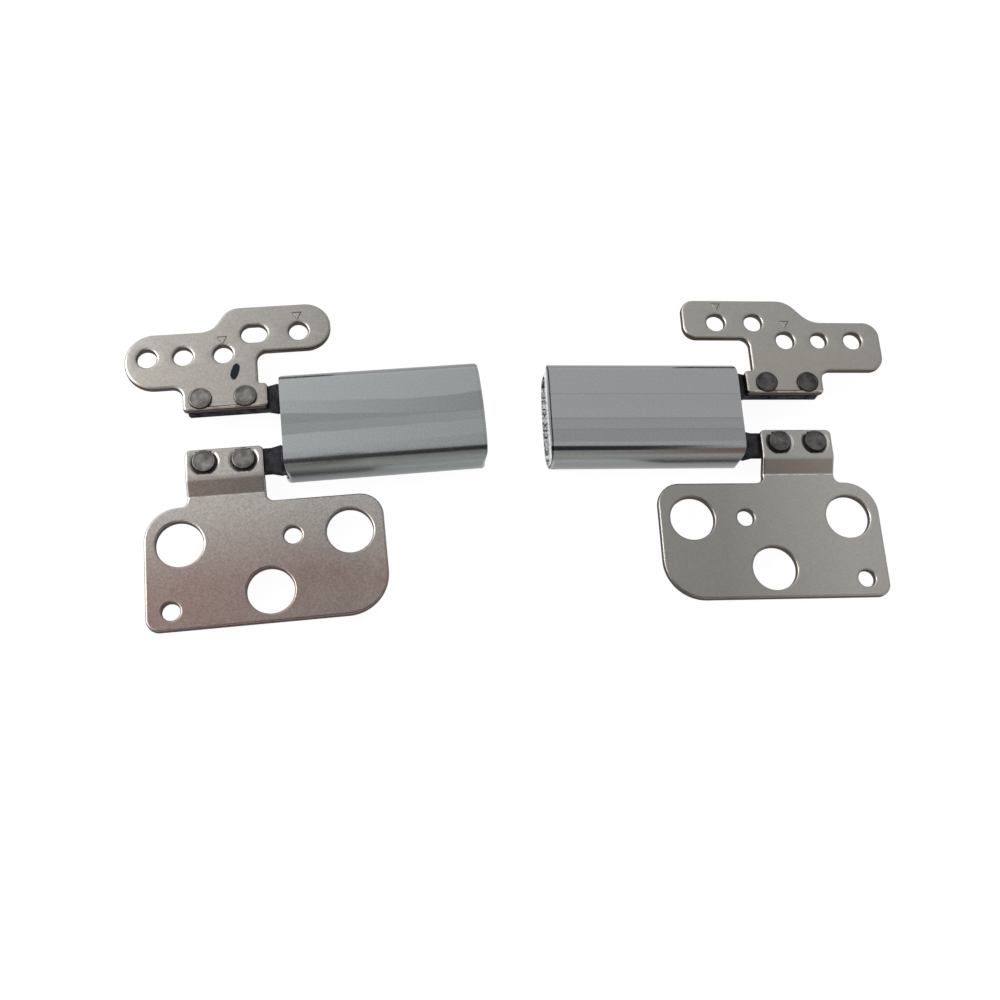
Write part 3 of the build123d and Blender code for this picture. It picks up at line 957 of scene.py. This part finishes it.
# Painted shade across the covers' front and back rounds, with a painted tone along the front round.
COVER_ROUND_SHADE = (
    (0.0, 0.35), (0.012, 0.35), (0.0366, 0.52), (0.0593, 1.0),
    (0.9, 1.0), (0.91, 0.42), (0.95, 0.3), (1.0, 0.15),
)
COVER_FRONT_TONE = {"left": (0.96, 1.56), "right": (1.32, 1.32)}
COVER_FRONT_SPAN = (0.08, 0.045)
COVER_ROUND_DULLING = ((0.0, 0.16), (0.05, 0.16), (0.1, 0.0))
COVER_SPECKLE = 0.06
COVER_GRAIN_SCALE = 3600.0
COVER_BUMP_DEPTH = 0.01 * MM
COVER_BUMP = 0.08
COVER_END_LINE = (27.7 * MM, 27.9 * MM)
COVER_END_LINE_TONE = {"left": (0.9, 0.9, 0.9, 1), "right": (0.12, 0.12, 0.13, 1)}
# Painted glints on the closed end's sunk plate, and painted shade darker towards its top.
END_SHADE_TOP = 4.6 * MM
END_SHADE_FOOT = 3.4 * MM
END_TONES = (0.08, 1.0)
END_GLINT_SCALE = 2600.0
END_GLINT_DETAIL = 3.0
END_GLINT_SPAN = (0.36, 0.62)

# Steel finishes: a pale and a deep tone that mottle the face, a roughness and a grain scale
STEEL_MOTTLE_SCALE = 900.0
STEEL_MOTTLE_SPAN = (0.34, 0.66)
STEEL_SPECKLE = 0.12
STEEL_BUMP_DEPTH = 0.02 * MM
STEEL_BUMP = 0.4
STEEL_RIM_PAINTED_SHADE = (0.05, 0.048, 0.048, 1)
STEEL_EDGE_TINT = (0.35, 0.35, 0.37, 1)
RIVET_ROUGHNESS = 0.42
RIVET_GRAIN_SCALE = 3000.0
RIVET_STEELS = {
    ("left", "lid"): ((0.36, 0.35, 0.333, 1), (0.16, 0.157, 0.15, 1)),
    ("left", "base"): ((0.36, 0.35, 0.333, 1), (0.16, 0.157, 0.15, 1)),
    ("right", "lid"): ((0.16, 0.156, 0.15, 1), (0.075, 0.073, 0.07, 1)),
    ("right", "base"): ((0.22, 0.215, 0.205, 1), (0.1, 0.097, 0.095, 1)),
}
SHAFT_STEEL = ("blackened_shaft_steel", (0.07, 0.07, 0.08, 1), (0.028, 0.028, 0.034, 1), 0.4, 3500.0)
INNER_STEELS = {
    "gear_steel": ("greased_gear_steel", (0.42, 0.4, 0.36, 1), (0.24, 0.225, 0.2, 1), 0.3, 2500.0),
    "spring_steel": ("hardened_spring_steel", (0.2, 0.2, 0.21, 1), (0.1, 0.1, 0.11, 1), 0.32, 3000.0),
}

COVER_FINISH = {side: cover_material(side) for side in SIDES}
BRACKET_FINISH = {(side, end): bracket_material(side, end) for side, end in BRACKET_SPECKLE_AND_REFLECTION_TINT}
RIVET_FINISH = {
    (side, end): plain_steel(f"{side}_{end}_rivet_steel", pale, deep, RIVET_ROUGHNESS, RIVET_GRAIN_SCALE)
    for (side, end), (pale, deep) in RIVET_STEELS.items()
}
SHAFT_FINISH = plain_steel(*SHAFT_STEEL)
INNER_FINISH = {slot: plain_steel(*steel) for slot, steel in INNER_STEELS.items()}
SLOTS = {entry["node"]: entry["material_slot"] for entry in frame["record"]["subparts"]}


def dress_hinge(side):
    """Models the visible pieces of one hinge around its nodes."""
    cover = f"{side}_cover"
    dress(model_cover(side), cover, "covers", COVER_FINISH[side])
    for end, model_bracket in (("lid", model_lid_bracket), ("base", model_base_bracket)):
        body = f"{side}_{end}"
        bracket, rivets, shaft = (f"{body}_{name}" for name in ("bracket", "rivets", "shaft"))
        dress(model_bracket(side), bracket, body, BRACKET_FINISH[side, end])
        dress(model_rivets(side, end), rivets, body, RIVET_FINISH[side, end])
        dress(model_shaft(side, end), shaft, body, SHAFT_FINISH)


for side in SIDES:
    dress_hinge(side)
for name, inner in frame["nodes"].items():
    if SLOTS[name] in INNER_FINISH:
        inner.data.materials.clear()
        inner.data.materials.append(INNER_FINISH[SLOTS[name]])


# Studio


def dress_stage(plane, name):
    """Names and places a stage plane, and gives the node tree of its material, which has no shader yet."""
    plane.name = name
    bpy.ops.object.transform_apply(location=True, rotation=True, scale=True)
    material = bpy.data.materials.new(name)
    material.use_nodes = True
    material.node_tree.nodes.remove(material.node_tree.nodes["Principled BSDF"])
    plane.data.materials.append(material)
    return material.node_tree


def hide_card(card):
    """Leaves a card to be seen only in the metal."""
    card.visible_camera = False
    card.visible_diffuse = False
    card.visible_shadow = False


def stage_plane(name, low, high, height):
    """Level stage plane between two corners, and its material's node tree."""
    clear_selection()
    middle = ((low[0] + high[0]) / 2, (low[1] + high[1]) / 2, height)
    bpy.ops.mesh.primitive_plane_add(size=1, location=middle)
    plane = bpy.context.active_object
    plane.scale = (high[0] - low[0], high[1] - low[1], 1)
    return plane, dress_stage(plane, name)


def mix_surface(tree, share, first, second):
    """Joins two shaders by a share to the material's surface."""
    mixed = node(tree, "ShaderNodeMixShader", {0: share, 1: first.outputs[0], 2: second.outputs[0]})
    tree.links.new(mixed.outputs[0], tree.nodes["Material Output"].inputs["Surface"])


def make_floor():
    """Pale table that looks white straight on and in the metal, and still takes a soft shadow."""
    half = FLOOR_SIZE / 2
    tree = stage_plane("floor", (-half, -half), (half, half), -FLOOR_DROP)[1]
    path = tree.nodes.new("ShaderNodeLightPath").outputs
    seen = calc(tree, "MAXIMUM", path["Is Camera Ray"], path["Is Glossy Ray"])
    seen = calc(tree, "MAXIMUM", seen, path["Is Transmission Ray"])
    matt = node(tree, "ShaderNodeBsdfDiffuse", {"Color": toned((FLOOR_GREY,) * 3, 1)})
    white = node(tree, "ShaderNodeEmission", {"Strength": FLOOR_WHITE})
    mix_surface(tree, calc(tree, "MULTIPLY", seen, FLOOR_WHITE_SHARE), matt, white)


def make_card(name):
    """Soft-edged card above the pair, seen only in the metal."""
    low, high = ([place * MM for place in corner] for corner in CARDS[name][:2])
    card, tree = stage_plane(name, low, high, CARD_HEIGHT)
    hide_card(card)
    axes = parts_of(tree, tree.nodes.new("ShaderNodeTexCoord").outputs["Object"])
    mask = 1.0
    for axis, start, finish in (("X", low[0], high[0]), ("Y", low[1], high[1])):
        for edge, inside in ((start, start + CARD_SOFT_EDGE), (finish, finish - CARD_SOFT_EDGE)):
            mask = calc(tree, "MULTIPLY", span(tree, axes[axis], edge, inside), mask)
    tone = node(tree, "ShaderNodeEmission", {"Color": CARDS[name][2]})
    mix_surface(tree, mask, tree.nodes.new("ShaderNodeBsdfTransparent"), tone)


def make_centre_card():
    """Upright dark card between the hinges, which darkens the edges that face the middle."""
    clear_selection()
    low, high = CENTRE_CARD_LOW, CENTRE_CARD_HIGH
    middle = (CENTRE_CARD_X, (low[0] + high[0]) / 2, (low[1] + high[1]) / 2)
    bpy.ops.mesh.primitive_plane_add(size=1, location=middle, rotation=(0, pi / 2, 0))
    card = bpy.context.active_object
    card.scale = (high[1] - low[1], high[0] - low[0], 1)
    tree = dress_stage(card, "centre_card")
    hide_card(card)
    dark = node(tree, "ShaderNodeEmission", {"Color": CENTRE_CARD_TONE})
    tree.links.new(dark.outputs[0], tree.nodes["Material Output"].inputs["Surface"])


def make_world():
    """Room light: bright on the left, dim on the right, and dimmer in front."""
    world = bpy.data.worlds.new("soft_room")
    bpy.context.scene.world = world
    world.use_nodes = True
    tree = world.node_tree
    axes = parts_of(tree, tree.nodes.new("ShaderNodeTexCoord").outputs["Generated"])
    stops = [((way + 1) / 2, tone / ROOM_STRENGTH) for way, tone in ROOM_LEFT_TO_RIGHT]
    room = ramp(tree, span(tree, axes["X"], -1.0, 1.0), stops)
    front = span(tree, axes["Y"], *ROOM_FRONT_SPAN)
    background = tree.nodes["Background"]
    colour = blend(tree, front, room, toned(ROOM_FRONT, 1 / ROOM_STRENGTH))
    tree.links.new(colour, background.inputs["Color"])
    background.inputs["Strength"].default_value = ROOM_STRENGTH


def make_softbox(name, place, size, power):
    """Square area lamp turned to face the pair."""
    lamp = bpy.data.lights.new(name, "AREA")
    lamp.shape = "SQUARE"
    lamp.size = size
    lamp.energy = power
    holder = bpy.data.objects.new(name, lamp)
    bpy.context.scene.collection.objects.link(holder)
    turn = Vector(place).to_track_quat("Z", "Y")
    holder.matrix_world = Matrix.Translation(place) @ turn.to_matrix().to_4x4()
    return holder


def make_camera():
    """Camera above the gap between the hinges, at the photograph's angle."""
    data = bpy.data.cameras.new("camera")
    data.lens = CAMERA_LENS
    data.sensor_width = CAMERA_SENSOR
    data.clip_start = CAMERA_NEAREST
    camera = bpy.data.objects.new("camera", data)
    bpy.context.scene.collection.objects.link(camera)
    turn = (
        Matrix.Rotation(CAMERA_ROLL, 4, "Y")
        @ Matrix.Rotation(CAMERA_PITCH, 4, "X")
        @ Matrix.Rotation(CAMERA_YAW, 4, "Z")
    )
    camera.matrix_world = Matrix.Translation(CAMERA_PLACE) @ turn
    bpy.context.scene.camera = camera


make_floor()
for name in CARDS:
    make_card(name)
make_centre_card()
make_world()
make_softbox("window_side", WINDOW_PLACE, WINDOW_SIZE, WINDOW_POWER)
make_softbox("back_fill", FILL_PLACE, FILL_SIZE, FILL_POWER).visible_glossy = False
make_camera()
bpy.context.scene.view_settings.view_transform = "Standard"
